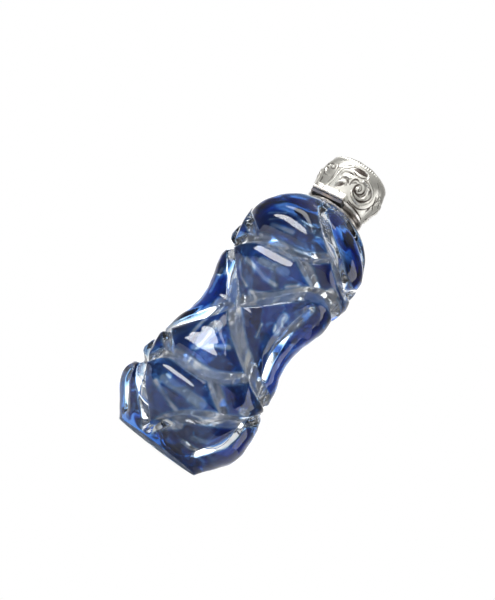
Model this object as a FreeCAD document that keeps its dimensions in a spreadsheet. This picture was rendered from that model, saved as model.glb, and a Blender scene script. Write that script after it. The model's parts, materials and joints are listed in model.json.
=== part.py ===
"""Cased-glass scent bottle with a silver collar, a hinged silver lid and a ground glass stopper.

Millimetres, +Z up, origin at the centre of the flat base. The lid's hinge is on the -Y side, its pin along X.
A clear, thick-walled, waisted body carries a thin casing of blue glass. Mitre cuts, each ground straight
with a V-edged wheel, go through the casing into the clear glass and leave it as a net of blue lozenges. The
cuts wind round the body as crossing helices. All but one of them are repeated half a turn round.
"""

import FreeCAD, Part
import math
import os

import Sketcher

os.makedirs("parts", exist_ok=True)
DOC = FreeCAD.newDocument("scent_bottle")
SHEET = DOC.addObject("Spreadsheet::Sheet", "dims")

# Driving dimensions, in millimetres and degrees.
DIMENSIONS = {
    # body outline
    "foot_radius": 14.8,
    "heel_radius": 21.2,
    "heel_height": 8.0,
    "bulge_radius": 23.5,
    "low_bulge_height": 14.5,
    "waist_radius": 18.2,
    "waist_height": 47.0,
    "waist_curve": 24.0,
    "high_bulge_height": 77.0,
    "casing_top_radius": 13.6,
    "casing_top_height": 95.0,
    "casing_thickness": 0.6,
    # neck and mouth
    "ledge_radius": 11.0,
    "ledge_height": 96.6,
    "neck_radius": 7.5,
    "mouth_height": 102.6,
    "seat_top_radius": 4.2,
    "seat_foot_radius": 3.8,
    "seat_foot_height": 92.6,
    # reservoir
    "cavity_floor_height": 9.0,
    "cavity_floor_radius": 12.0,
    "cavity_bulge_radius": 16.6,
    "cavity_low_height": 15.5,
    "cavity_waist_radius": 11.6,
    "cavity_high_height": 75.5,
    "cavity_top_radius": 5.6,
    "cavity_top_height": 86.5,
    "bore_foot_height": 88.4,
    # mitre cuts
    "wheel_half_angle": 52.0,
    "wheel_edge": 0.05,
    "wheel_height": 5.0,
    "cut_end_depth": 1.0,
    "cut_mid_depth": 1.8,
    "cut_run_out": 1.2,
    # silver collar
    "bezel_inner_radius": 9.0,
    "bezel_outer_radius": 9.55,
    "bezel_top_height": 102.0,
    "bezel_lip_radius": 7.6,
    "bezel_lip": 0.4,
    "bead_root_radius": 10.5,
    "bead_height": 0.9,
    "bead_curve": 0.47,
    "band_radius": 10.4,
    "band_hollow": 0.25,
    "band_top_height": 99.1,
    # silver lid
    "lid_sheet": 0.6,
    "rim_radius": 10.5,
    "rim_height": 99.25,
    "flare_radius": 11.5,
    "flare_height": 105.5,
    "flare_curve": 40.0,
    "lid_bulge_radius": 12.25,
    "lid_bulge_height": 109.5,
    "crown_radius": 10.4,
    "crown_height": 115.4,
    "top_height": 118.1,
    "wire_width": 0.25,
    "wire_height": 0.7,
    "lip_radius": 2.6,
    "lip_reach": 10.2,
    "lip_thickness": 0.7,
    # hinge
    "hinge_reach": 11.5,
    "hinge_height": 99.35,
    "hinge_length": 12.0,
    "tube_radius": 0.7,
    "tube_clearance": 0.1,
    "pin_radius": 0.35,
    "pin_clearance": 0.03,
    "pin_overhang": 0.2,
    "lid_tube_length": 5.8,
    "tube_gap": 0.1,
    "plate_depth": 3.1,
    "lid_plate_height": 1.7,
    "collar_plate_height": 1.55,
    # stopper
    "seat_clearance": 0.05,
    "plug_foot_height": 92.8,
    "plug_top_height": 103.0,
    "stem_radius": 3.0,
    "stem_foot_height": 103.6,
    "stem_top_height": 104.3,
    "knob_radius": 5.6,
    "knob_foot_height": 105.4,
    "knob_side_height": 106.8,
    "knob_top_height": 108.8,
}

# Each stroke of the cutting wheel is a row of (degrees, millimetres): how far round from the hinge's side
# towards +X, and how high. A straight cut joins each point to the next. The first set is cut again half a
# turn round, the second only once.
REPEATED_STROKES = {
    "shoulder_fall": [(16, 91), (35, 83), (64, 76), (88, 75), (117, 77.5), (137, 65)],
    "neck_fall": [(51, 93.5), (76, 90.5), (102, 86)],
    "waist_fall": [(-43, 65), (-10, 52), (28, 40), (66, 32.5), (98, 31), (122, 28), (148, 18)],
    "heel_fall": [(-32, 18), (-14, 9), (2, 2)],
    "upper_rise": [(-1, 48), (30, 56), (60, 66), (98, 68), (137, 65)],
    "waist_rise": [(-103, 21), (-66, 29), (-33, 36), (-1, 48)],
    "heel_rise": [(9, 2), (36, 12), (77, 21)],
    "upper_tie": [(-43, 65), (-14, 69.5), (25, 71), (50, 78)],
    "upper_tie_spur": [(25, 71), (54, 67)],
    "upper_tie_end": [(-14, 69.5), (-50, 78)],
    "lower_tie": [(-32, 18), (-11, 24), (27, 25), (58, 33)],
    "lower_tie_spur": [(27, 25), (53, 18.5)],
    "lower_tie_end": [(-11, 24), (-50, 32)],
    "waist_flute": [(66, 61), (68, 48), (72, 36)],
    "side_flute": [(79, 21), (67, 4)],
    "heel_flute": [(-39, 13), (-38, 3)],
}
SINGLE_STROKES = {
    "side_tie": [(-32, 18), (-63, 19.5), (-103, 21)],
}


class Size:
    """A size worked out from the sheet: its value now, and the expression that a property is bound to."""

    def __init__(self, value, text):
        self.value = value
        self.text = text

    def __add__(self, other):
        return Size(self.value + other.value, f"({self.text} + {other.text})")

    def __sub__(self, other):
        return Size(self.value - other.value, f"({self.text} - {other.text})")

    def __mul__(self, other):
        return Size(self.value * other.value, f"({self.text} * {other.text})")

    def __truediv__(self, other):
        return Size(self.value / other.value, f"({self.text} / {other.text})")

    def __neg__(self):
        return Size(-self.value, f"(0 - {self.text})")


ZERO = Size(0.0, "0")
TWO = Size(2.0, "2")


def dim(name):
    """One of the sheet's driving dimensions."""
    return Size(DIMENSIONS[name], f"dims.{name}")


def dims(*names):
    return tuple(dim(name) for name in names)


def bind(feature, **properties):
    """Binds each property to its size."""
    for name, size in properties.items():
        feature.setExpression(name, size.text)


# ---- outlines --------------------------------------------------------------------------------------------
# A path is a list of (radius, height, curve): a point, and the arc radius of the run that leads to it. A
# curve of 0 is a straight run, a positive one turns left, and a negative one turns right.


def arc_radius(across, along):
    """Radius of an arc that starts square to its width. It closes in by across while it runs for along."""
    return (across * across + along * along) / (across * TWO)


def straight(*points):
    """A path of straight runs through (radius, height) points."""
    return [(radius, height, ZERO) for radius, height in points]


def waisted(inset, floor, low, waist, high, top):
    """The path up a waisted wall through (radius, height) points. Its bulges run smoothly into its waist,
    and inset moves it all towards the axis."""
    curve = dim("waist_curve")
    path = [(floor[0], floor[1], ZERO), (*low, arc_radius(low[0] - floor[0], low[1] - floor[1]))]
    for bulge in (low, high):
        both = arc_radius(bulge[0] - waist[0], bulge[1] - waist[1])
        bulge_curve = both - curve
        inner = bulge[0] - bulge_curve
        share = bulge_curve / both
        meet_radius = inner + share * (waist[0] + curve - inner)
        meet_height = bulge[1] + share * (waist[1] - bulge[1])
        if bulge is low:
            path.append((meet_radius, meet_height, bulge_curve))
        else:
            path.append((meet_radius, meet_height, -curve))
            path.append((*high, bulge_curve))
    path.append((*top, arc_radius(high[0] - top[0], top[1] - high[1])))
    return [(radius - inset, height, run) for radius, height, run in path]


def body_wall(inset):
    """The body's outside from its foot to the top of the casing."""
    foot = (dim("foot_radius") - inset, ZERO, ZERO)
    return [foot] + waisted(
        inset,
        dims("heel_radius", "heel_height"),
        dims("bulge_radius", "low_bulge_height"),
        dims("waist_radius", "waist_height"),
        dims("bulge_radius", "high_bulge_height"),
        dims("casing_top_radius", "casing_top_height"),
    )


def cavity_wall():
    """The reservoir's wall from its floor to the top of its shoulder."""
    return waisted(
        ZERO,
        dims("cavity_floor_radius", "cavity_floor_height"),
        dims("cavity_bulge_radius", "cavity_low_height"),
        dims("cavity_waist_radius", "waist_height"),
        dims("cavity_bulge_radius", "cavity_high_height"),
        dims("cavity_top_radius", "cavity_top_height"),
    )


def lid_wall(inset):
    """The lid's wall from its rim to the middle of its dome."""
    rim = (dim("rim_radius") - inset, dim("rim_height"))
    flare = (dim("flare_radius") - inset, dim("flare_height"))
    bulge = (dim("lid_bulge_radius") - inset, dim("lid_bulge_height"))
    crown = (dim("crown_radius") - inset, dim("crown_height") - inset)
    rise = dim("top_height") - dim("crown_height")
    return [
        (*rim, ZERO),
        (*flare, -dim("flare_curve")),
        (*bulge, arc_radius(bulge[0] - flare[0], bulge[1] - flare[1])),
        (*crown, arc_radius(bulge[0] - crown[0], crown[1] - bulge[1])),
        (ZERO, dim("top_height") - inset, arc_radius(rise, crown[0])),
    ]


def backwards(path):
    """The same path walked the other way."""
    curves = [ZERO] + [-curve for _, _, curve in reversed(path[1:])]
    return [(radius, height, curve) for (radius, height, _), curve in zip(reversed(path), curves)]


def arc_between(start, end, curve):
    """The arc from start to end, with the numbers of its own ends that lie at start and at end."""
    chord = end - start
    lift = math.sqrt(max(curve * curve - chord.Length**2 / 4.0, 0.0))
    left = FreeCAD.Vector(-chord.y, chord.x, 0).normalize()
    centre = (start + end) * 0.5 + left * math.copysign(lift, curve)
    circle = Part.Circle(centre, FreeCAD.Vector(0, 0, 1), abs(curve))
    turns = [math.atan2(point.y - centre.y, point.x - centre.x) for point in (start, end)]
    if curve > 0:
        return Part.ArcOfCircle(circle, turns[0], turns[1]), 1, 2
    return Part.ArcOfCircle(circle, turns[1], turns[0]), 2, 1


def draw(sketch, path):
    """Draws the path as a closed outline, every point and arc fixed to its size. It joins last to first."""
    places = [FreeCAD.Vector(radius.value, height.value, 0) for radius, height, _ in path]
    runs = []
    for index, start in enumerate(places):
        following = (index + 1) % len(places)
        curve = path[following][2].value
        if curve:
            edge, at_start, at_end = arc_between(start, places[following], curve)
        else:
            edge, at_start, at_end = Part.LineSegment(start, places[following]), 1, 2
        runs.append((sketch.addGeometry(edge), at_start, at_end))
    for index, (edge, at_start, at_end) in enumerate(runs):
        following = (index + 1) % len(runs)
        next_edge, next_start, _ = runs[following]
        sketch.addConstraint(Sketcher.Constraint("Coincident", edge, at_end, next_edge, next_start))
        radius, height, _ = path[index]
        for kind, size, axis in (("DistanceX", radius, -2), ("DistanceY", height, -1)):
            if size is ZERO:
                sketch.addConstraint(Sketcher.Constraint("PointOnObject", edge, at_start, axis))
            else:
                fixed = Sketcher.Constraint(kind, -1, 1, edge, at_start, size.value)
                sketch.setExpression(f"Constraints[{sketch.addConstraint(fixed)}]", size.text)
        curve = path[following][2]
        if curve.value:
            fixed = Sketcher.Constraint("Radius", edge, abs(curve.value))
            sketch.setExpression(f"Constraints[{sketch.addConstraint(fixed)}]", f"abs({curve.text})")


# ---- features --------------------------------------------------------------------------------------------


def turned(label, path):
    """A body turned about Z from its half outline."""
    body = DOC.addObject("PartDesign::Body", label)
    body.Label = label
    plane = next(item for item in body.Origin.OriginFeatures if item.Role == "XZ_Plane")
    sketch = body.newObject("Sketcher::SketchObject", f"{label}_outline")
    sketch.AttachmentSupport = [(plane, "")]
    sketch.MapMode = "FlatFace"
    draw(sketch, path)
    DOC.recompute()
    revolution = body.newObject("PartDesign::Revolution", f"{label}_turned")
    revolution.Profile = sketch
    revolution.ReferenceAxis = (sketch, ["V_Axis"])
    revolution.Angle = 360.0
    body.Tip = revolution
    DOC.recompute()
    return body


def cut(label, base, tool):
    made = DOC.addObject("Part::Cut", label)
    made.Label = label
    made.Base = base
    made.Tool = tool
    return made


def fused(label, pieces):
    made = DOC.addObject("Part::MultiFuse", label)
    made.Shapes = pieces
    made.Refine = False
    return made


def hinge_rod(label, radius, length, middle=ZERO):
    """A rod on the hinge's line, centred at X = middle."""
    rod = DOC.addObject("Part::Cylinder", label)
    rod.Label = label
    bind(rod, Radius=radius, Height=length)
    rod.Placement.Rotation = FreeCAD.Rotation(FreeCAD.Vector(0, 1, 0), 90)
    rod.setExpression("Placement.Base.x", (middle - length / TWO).text)
    rod.setExpression("Placement.Base.y", (-dim("hinge_reach")).text)
    rod.setExpression("Placement.Base.z", dim("hinge_height").text)
    return rod


def hinge_block(label, foot, height):
    """A flat-backed block as wide as the hinge, from the hinge's line in towards the axis."""
    block = DOC.addObject("Part::Box", label)
    bind(block, Length=dim("hinge_length"), Width=dim("plate_depth"), Height=height)
    block.setExpression("Placement.Base.x", (-dim("hinge_length") / TWO).text)
    block.setExpression("Placement.Base.y", (-dim("hinge_reach")).text)
    block.setExpression("Placement.Base.z", foot.text)
    return block


# ---- glass -----------------------------------------------------------------------------------------------


def on_wall(path, turn, height):
    """The point on the wall at that many degrees round, and the wall's outward normal there."""
    start, end = next(run for run in zip(path, path[1:]) if height <= run[1][1].value)
    low = FreeCAD.Vector(start[0].value, start[1].value, 0)
    high = FreeCAD.Vector(end[0].value, end[1].value, 0)
    if end[2].value:
        centre = arc_between(low, high, end[2].value)[0].Center
        side = math.copysign(1.0, end[2].value)
        across = math.sqrt(end[2].value ** 2 - (height - centre.y) ** 2)
        radius = centre.x + side * across
        slope = -side * (height - centre.y) / across
    else:
        slope = (high.x - low.x) / (high.y - low.y)
        radius = low.x + slope * (height - low.y)
    angle = math.radians(turn)
    outward = FreeCAD.Vector(math.sin(angle), -math.cos(angle), 0)
    up = FreeCAD.Vector(0, 0, 1)
    return outward * radius + up * height, (outward - up * slope).normalize()


def mitre_cut(label, wall, start, end):
    """One wedge, edge inwards, along the straight line from start to end. It is deepest between them."""
    halfway = ((start[0] + end[0]) / 2.0, (start[1] + end[1]) / 2.0)
    first, last = on_wall(wall, *start)[0], on_wall(wall, *end)[0]
    middle, outward = on_wall(wall, *halfway)
    run = last - first
    along = FreeCAD.Vector(run).normalize()
    outward = (outward - along * outward.dot(along)).normalize()
    sideways = outward.cross(along)
    rise = (middle - (first + last) * 0.5).dot(outward)
    depth = max(DIMENSIONS["cut_end_depth"], DIMENSIONS["cut_mid_depth"] - rise)
    corner = first - along * DIMENSIONS["cut_run_out"] - outward * depth
    wedge = DOC.addObject("Part::Wedge", label)
    edge, height = dims("wheel_edge", "wheel_height")
    slant = Size(math.tan(math.radians(DIMENSIONS["wheel_half_angle"])), "tan(dims.wheel_half_angle * 1 deg)")
    flank = edge + height * slant
    length = Size(run.Length, repr(run.Length)) + TWO * dim("cut_run_out")
    bind(wedge, Ymin=ZERO, Ymax=height, Xmin=-edge, Xmax=edge, X2min=-flank, X2max=flank)
    bind(wedge, Zmin=ZERO, Z2min=ZERO, Zmax=length, Z2max=length)
    axes = FreeCAD.Matrix()
    axes.A11, axes.A21, axes.A31 = sideways
    axes.A12, axes.A22, axes.A32 = outward
    axes.A13, axes.A23, axes.A33 = along
    axes.A14, axes.A24, axes.A34 = corner
    wedge.Placement = FreeCAD.Placement(axes)
    return wedge


def mitre_cuts():
    """Every cut of the wheel, as one tool."""
    wall = body_wall(ZERO)
    wedges = []
    placed = [(strokes, 0) for strokes in (REPEATED_STROKES, SINGLE_STROKES)] + [(REPEATED_STROKES, 180)]
    for strokes, extra_turn in placed:
        for name, points in strokes.items():
            for index, (start, end) in enumerate(zip(points, points[1:])):
                ends = [(turn + extra_turn, height) for turn, height in (start, end)]
                wedges.append(mitre_cut(f"{name}_{extra_turn}_{index}", wall, *ends))
    return fused("mitre_cuts", wedges)


def make_glass():
    """The clear body, its blue casing and the stopper."""
    tool = mitre_cuts()
    neck = straight(
        dims("ledge_radius", "ledge_height"),
        dims("neck_radius", "ledge_height"),
        dims("neck_radius", "mouth_height"),
        dims("seat_top_radius", "mouth_height"),
        dims("seat_foot_radius", "seat_foot_height"),
        dims("seat_foot_radius", "bore_foot_height"),
    )
    floor = straight((ZERO, dim("cavity_floor_height")), (ZERO, ZERO))
    skin = body_wall(dim("casing_thickness"))
    clear = turned("clear_blank", skin + neck + backwards(cavity_wall()) + floor)
    blue = turned("blue_blank", body_wall(ZERO) + backwards(skin))
    gap = dim("seat_clearance")
    plug_top = dim("seat_top_radius") - gap
    knob_rise = dim("knob_top_height") - dim("knob_side_height")
    knob_dome = (ZERO, dim("knob_top_height"), arc_radius(knob_rise, dim("knob_radius")))
    stopper = straight(
        (ZERO, dim("plug_foot_height")),
        (dim("seat_foot_radius") - gap, dim("plug_foot_height")),
        (plug_top, dim("mouth_height")),
        (plug_top, dim("plug_top_height")),
        dims("stem_radius", "stem_foot_height"),
        dims("stem_radius", "stem_top_height"),
        dims("knob_radius", "knob_foot_height"),
        dims("knob_radius", "knob_side_height"),
    )
    return [
        cut("glass_body", clear, tool),
        cut("blue_casing", blue, tool),
        turned("glass_stopper", stopper + [knob_dome]),
    ]


# ---- silver ----------------------------------------------------------------------------------------------


def make_collar():
    """The plaster bed, the bezel that the lid closes over, and the bead and hollow band round its foot.
    Also the solid inside the band's outside."""
    foot = dim("ledge_height")
    bead_top = foot + dim("bead_height")
    inner, outer, top = dims("bezel_inner_radius", "bezel_outer_radius", "bezel_top_height")
    under_lip = top - dim("bezel_lip")
    neck, lip = dims("neck_radius", "bezel_lip_radius")
    bead_root = dim("bead_root_radius")
    cement = straight((neck, foot), (inner, foot), (inner, under_lip), (neck, under_lip))
    bezel = straight((inner, foot), (outer, foot), (outer, top), (lip, top))
    bezel += straight((lip, under_lip), (inner, under_lip))
    bead = straight((outer, foot), (bead_root, foot))
    bead += [(bead_root, bead_top, dim("bead_curve"))] + straight((outer, bead_top))
    band, band_top = dims("band_radius", "band_top_height")
    hollow = arc_radius(dim("band_hollow"), (band_top - bead_top) / TWO)
    filled_outline = straight((ZERO, bead_top), (band, bead_top))
    filled_outline += [(band, band_top, -hollow)] + straight((ZERO, band_top))
    filled = turned("band_filled", filled_outline)
    bore = DOC.addObject("Part::Cylinder", "band_bore")
    bind(bore, Radius=outer, Height=top)
    collar = [
        turned("neck_cement", cement),
        turned("collar_bezel", bezel),
        turned("collar_foot_bead", bead),
        cut("collar_band", filled, bore),
    ]
    return collar, filled


def make_lid():
    """The lid's shell, its rim wire and its thumb lip. Also the solid inside the shell's outside."""
    rim, foot = dims("rim_radius", "rim_height")
    mouth = straight((ZERO, foot))
    filled = turned("lid_filled", lid_wall(ZERO) + mouth)
    room = turned("lid_room", lid_wall(dim("lid_sheet")) + mouth)
    wire_top = foot + dim("wire_height")
    face = rim + dim("wire_width")
    ring = turned("wire_ring", straight((rim, foot), (face, foot), (face, wire_top), (rim, wire_top)))
    disc = DOC.addObject("Part::Cylinder", "lip_disc")
    bind(disc, Radius=dim("lip_radius"), Height=dim("lip_thickness"))
    disc.setExpression("Placement.Base.y", dim("lip_reach").text)
    disc.setExpression("Placement.Base.z", wire_top.text)
    lid = [
        cut("lid_shell", filled, room),
        cut("lid_rim_wire", ring, filled),
        cut("lid_thumb_lip", disc, filled),
    ]
    return lid, filled


def make_hinge(band_filled, lid_filled):
    """The pin, the two fixed tubes and the lid's tube, and the two plates that carry the tubes."""
    length, lid_length, gap = dims("hinge_length", "lid_tube_length", "tube_gap")
    radius, pin = dims("tube_radius", "pin_radius")
    side_length = (length - lid_length) / TWO - gap
    side = (lid_length + side_length) / TWO + gap
    running = pin + dim("pin_clearance")
    clear = radius + dim("tube_clearance")
    bead_top = dim("ledge_height") + dim("bead_height")
    wire_top = dim("rim_height") + dim("wire_height")

    def tube(label, bore, tube_length, middle=ZERO):
        outside = hinge_rod(f"{label}_outside", radius, tube_length, middle)
        return cut(label, outside, hinge_rod(f"{label}_bore", bore, length, middle))

    def plate(label, foot, height, wall, side_radius, centre_radius):
        """A block less the round wall behind it, hollowed to fit its own tubes and clear the others."""
        hollows = [
            hinge_rod(f"{label}_centre", centre_radius, lid_length + TWO * gap),
            hinge_rod(f"{label}_left", side_radius, side_length + gap, -side),
            hinge_rod(f"{label}_right", side_radius, side_length + gap, side),
        ]
        block = hinge_block(f"{label}_block", foot, height)
        return cut(label, cut(f"{label}_fitted", block, wall), fused(f"{label}_hollows", hollows))

    return [
        plate("collar_hinge_plate", bead_top, dim("collar_plate_height"), band_filled, radius, clear),
        tube("collar_knuckle_left", pin, side_length, -side),
        tube("collar_knuckle_right", pin, side_length, side),
        hinge_rod("hinge_pin", pin, length + TWO * dim("pin_overhang")),
        plate("lid_hinge_plate", wire_top, dim("lid_plate_height"), lid_filled, clear, radius),
        tube("lid_knuckle", running, lid_length),
    ]


def export(nodes):
    """Checks every feature, then writes each node's solid."""
    DOC.recompute()
    for feature in DOC.Objects:
        if "Invalid" in feature.State or "Error" in feature.State:
            raise RuntimeError(f"{feature.Label} did not compute")
    for node in nodes:
        if node.Shape.isNull() or not node.Shape.isValid() or not node.Shape.Solids:
            raise RuntimeError(f"{node.Label} has no valid solid")
        node.Shape.exportStep(f"parts/{node.Label}.step")
        print(node.Label, len(node.Shape.Solids), "solid(s),", round(node.Shape.Volume, 1), "mm3")


for row, (name, value) in enumerate(DIMENSIONS.items(), start=1):
    SHEET.set(f"A{row}", name)
    SHEET.set(f"B{row}", str(value))
    SHEET.setAlias(f"B{row}", name)
DOC.recompute()

glass = make_glass()
collar, band_filled = make_collar()
lid, lid_filled = make_lid()
hinge = make_hinge(band_filled, lid_filled)
export(glass + collar + lid + hinge)
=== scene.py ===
"""The looks of a cased-glass scent bottle: its cut glass, its embossed silver lid and a plain studio."""

import json
import math

import bpy
import numpy as np
from mathutils import Matrix, Vector


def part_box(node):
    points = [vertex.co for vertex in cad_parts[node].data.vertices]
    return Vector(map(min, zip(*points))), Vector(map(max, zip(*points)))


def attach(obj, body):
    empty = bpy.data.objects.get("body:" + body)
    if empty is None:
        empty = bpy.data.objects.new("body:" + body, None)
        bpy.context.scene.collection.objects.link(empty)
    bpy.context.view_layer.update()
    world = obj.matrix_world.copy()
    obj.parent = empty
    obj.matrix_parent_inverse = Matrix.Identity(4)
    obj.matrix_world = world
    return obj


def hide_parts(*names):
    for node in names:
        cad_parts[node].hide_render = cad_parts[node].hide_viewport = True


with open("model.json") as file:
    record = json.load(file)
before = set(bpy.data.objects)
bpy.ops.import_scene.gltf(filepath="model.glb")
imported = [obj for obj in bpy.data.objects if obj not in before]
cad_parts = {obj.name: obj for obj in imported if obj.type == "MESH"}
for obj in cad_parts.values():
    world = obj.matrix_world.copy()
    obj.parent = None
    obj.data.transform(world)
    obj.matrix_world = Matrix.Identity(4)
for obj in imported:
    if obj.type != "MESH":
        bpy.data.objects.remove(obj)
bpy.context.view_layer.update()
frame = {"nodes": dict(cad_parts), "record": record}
MM = 0.001


# ---- helpers for shader nodes --------------------------------------------------------------------


class Shader:
    """A material whose nodes are added by name, with inputs given as values or as other nodes' sockets."""

    def __init__(self, name):
        self.material = bpy.data.materials.new(name)
        self.material.use_nodes = True
        self.tree = self.material.node_tree
        self.surface = self.tree.nodes["Principled BSDF"]

    def node(self, kind, settings=None, **inputs):
        made = self.tree.nodes.new(kind)
        for name, value in (settings or {}).items():
            setattr(made, name, value)
        for name, value in inputs.items():
            self.feed(made, name.replace("_", " "), value)
        return made

    def feed(self, node, name, value):
        socket = node.inputs[int(name)] if name.isdigit() else node.inputs[name]
        if isinstance(value, bpy.types.NodeSocket):
            self.tree.links.new(value, socket)
        else:
            socket.default_value = value

    def set(self, **inputs):
        for name, value in inputs.items():
            self.feed(self.surface, name.replace("_", " "), value)

    def place(self):
        return self.node("ShaderNodeTexCoord").outputs["Object"]

    def noise(self, scale, detail=3.0, roughness=0.5, distortion=0.0):
        return self.node(
            "ShaderNodeTexNoise",
            Vector=self.place(),
            Scale=scale,
            Detail=detail,
            Roughness=roughness,
            Distortion=distortion,
        ).outputs["Fac"]

    def attribute(self, name):
        return self.node("ShaderNodeAttribute", {"attribute_name": name}).outputs["Fac"]

    def math(self, operation, first, second):
        made = self.node("ShaderNodeMath", {"operation": operation})
        self.feed(made, "0", first)
        self.feed(made, "1", second)
        return made.outputs[0]

    def remap(self, value, low, high, to_low=0.0, to_high=1.0):
        made = self.node("ShaderNodeMapRange", {"interpolation_type": "SMOOTHSTEP"})
        for index, number in enumerate((value, low, high, to_low, to_high)):
            self.feed(made, str(index), number)
        return made.outputs["Result"]

    def blend(self, share, first, second):
        made = self.node("ShaderNodeMix", {"data_type": "RGBA"})
        for index, value in ((0, share), (6, first), (7, second)):
            self.feed(made, str(index), value)
        return made.outputs[2]

    def bump(self, height, strength, distance):
        made = self.node("ShaderNodeBump", Height=height, Strength=strength, Distance=distance)
        self.feed(self.surface, "Normal", made.outputs["Normal"])


# ---- lathe and field helpers ---------------------------------------------------------------------


def arc(start, end, radius, count):
    """Points on an arc between two (r, z) points, start left out. A positive radius turns left."""
    start, end = np.array(start, float), np.array(end, float)
    chord = end - start
    half = np.linalg.norm(chord) / 2
    lift = math.sqrt(max(radius * radius - half * half, 0.0)) * math.copysign(1, radius)
    centre = (start + end) / 2 + np.array([-chord[1], chord[0]]) / (2 * half) * lift
    turn = math.copysign(2 * math.asin(min(1.0, half / abs(radius))), radius)
    arm = start - centre
    points = []
    for angle in np.arange(1, count + 1) / count * turn:
        cosine, sine = math.cos(angle), math.sin(angle)
        swung = np.array([arm[0] * cosine - arm[1] * sine, arm[0] * sine + arm[1] * cosine])
        points.append(tuple(centre + swung))
    return points


def line(start, end, count):
    """Points on a straight run between two (r, z) points, start left out."""
    start, end = np.array(start), np.array(end)
    return [tuple(start + (end - start) * (i / count)) for i in range(1, count + 1)]


def rounded(across, along):
    """Radius of an arc that starts upright, moves sideways by across and climbs by along."""
    return (across * across + along * along) / (across * 2)


def outward_normals(profile):
    """Unit normals of a lathe profile that climbs, pointing away from the axis."""
    run = np.gradient(profile, axis=0)
    normal = np.column_stack([run[:, 1], -run[:, 0]])
    return normal / np.linalg.norm(normal, axis=1)[:, None]


def lathe_mesh(name, rings):
    """A closed mesh from rings of (x, y, z) points in mm, as many in each, with a face across each end."""
    count = len(rings[0])
    vertices = np.concatenate(rings)
    first = np.arange(count)
    after = (first + 1) % count
    quads = []
    for row in range(len(rings) - 1):
        low, high = row * count, (row + 1) * count
        quads.append(np.column_stack([low + first, low + after, high + after, high + first]))
    faces = np.concatenate(quads)
    ends = [first[::-1], (len(rings) - 1) * count + first]
    loops = np.concatenate([faces.ravel()] + ends)
    sizes = np.concatenate([np.full(len(faces), 4), np.full(len(ends), count)])
    mesh = bpy.data.meshes.new(name)
    mesh.vertices.add(len(vertices))
    mesh.vertices.foreach_set("co", (vertices * MM).astype(np.float32).ravel())
    mesh.loops.add(len(loops))
    mesh.loops.foreach_set("vertex_index", loops.astype(np.int32))
    mesh.polygons.add(len(sizes))
    mesh.polygons.foreach_set("loop_start", np.concatenate([[0], np.cumsum(sizes)[:-1]]).astype(np.int32))
    mesh.polygons.foreach_set("loop_total", sizes.astype(np.int32))
    mesh.update(calc_edges=True)
    mesh.validate()
    return mesh


def piece(name, mesh, material, body, replaced, sharp_angle):
    """A piece of the object that rides on a body and stands for the CAD nodes named."""
    made = bpy.data.objects.new(name, mesh)
    bpy.context.scene.collection.objects.link(made)
    mesh.materials.append(material)
    mesh.shade_smooth()
    mesh.set_sharp_from_angle(angle=math.radians(sharp_angle))
    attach(made, body)
    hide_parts(*replaced)
    return made


def spread(mesh, name, values):
    """Stores one number for each vertex."""
    layer = mesh.attributes.new(name, "FLOAT", "POINT")
    layer.data.foreach_set("value", np.asarray(values, np.float32))


def smooth(low, high, value):
    """0 below low, 1 above high, and an S curve between."""
    share = np.clip((value - low) / (high - low), 0, 1)
    return share * share * (3 - 2 * share)


# ---- the glass -----------------------------------------------------------------------------------

# The outline of the body, in (r, z): its named points, with smooth curves between them.
FOOT = (14.8, 0.0)
HEEL = (21.2, 8.0)
LOW_BULGE = (23.5, 14.5)
WAIST = (18.2, 47.0)
HIGH_BULGE = (23.5, 77.0)
CASING_TOP = (13.6, 95.0)
HEEL_CHAMFER = 10.2
WAIST_CURVE = 24.0

# The cavity's outline.
CAVITY_FLOOR = (12.0, 9.0)
CAVITY_LOW = (16.6, 15.5)
CAVITY_WAIST = (11.6, 47.0)
CAVITY_HIGH = (16.6, 75.5)
CAVITY_TOP = (5.6, 86.5)
CAVITY_STEP = 1.2
CAVITY_BOTTOM = [(10.0, 8.7), (5.0, 8.4), (1.5, 8.3)]

# Radius and height of the rings under the foot, ground a little hollow.
BASE_RINGS = [(3.0, 0.25), (8.0, 0.2), (12.5, 0.08), (14.2, 0.0)]

# The neck: the ledge that the collar stands on, the wall, the lip and the bore down to the cavity.
NECK = [
    (10.7, 96.6), (7.7, 96.6), (7.5, 96.8), (7.5, 99.0), (7.5, 102.2), (7.3, 102.5), (7.0, 102.6),
    (4.5, 102.6), (4.25, 102.5), (4.2, 102.3), (4.0, 97.5), (3.8, 92.6), (3.8, 88.6),
]
SHOULDER_EDGE = (13.0, 95.35)
LEDGE_EDGE = (11.0, 96.55)


def waisted(floor, low, waist, high, top, step):
    """The points up a waisted wall, bulges running smoothly into the waist, about step apart."""
    rows = max(3, int((low[1] - floor[1]) / step))
    points = arc(floor, low, rounded(low[0] - floor[0], low[1] - floor[1]), rows)
    for bulge in (low, high):
        both = rounded(bulge[0] - waist[0], bulge[1] - waist[1])
        curve = both - WAIST_CURVE
        inner = bulge[0] - curve
        share = curve / both
        meet = (inner + share * (waist[0] + WAIST_CURVE - inner), bulge[1] + share * (waist[1] - bulge[1]))
        rows = int(abs(meet[1] - bulge[1]) / step)
        turn = int(abs(meet[1] - waist[1]) / step)
        if bulge is low:
            points += arc(low, meet, curve, rows) + arc(meet, waist, -WAIST_CURVE, turn)
        else:
            points += arc(waist, meet, -WAIST_CURVE, turn) + arc(meet, high, curve, rows)
    rise = top[1] - high[1]
    return points + arc(high, top, rounded(high[0] - top[0], rise), int(1.25 * rise / step))


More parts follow.
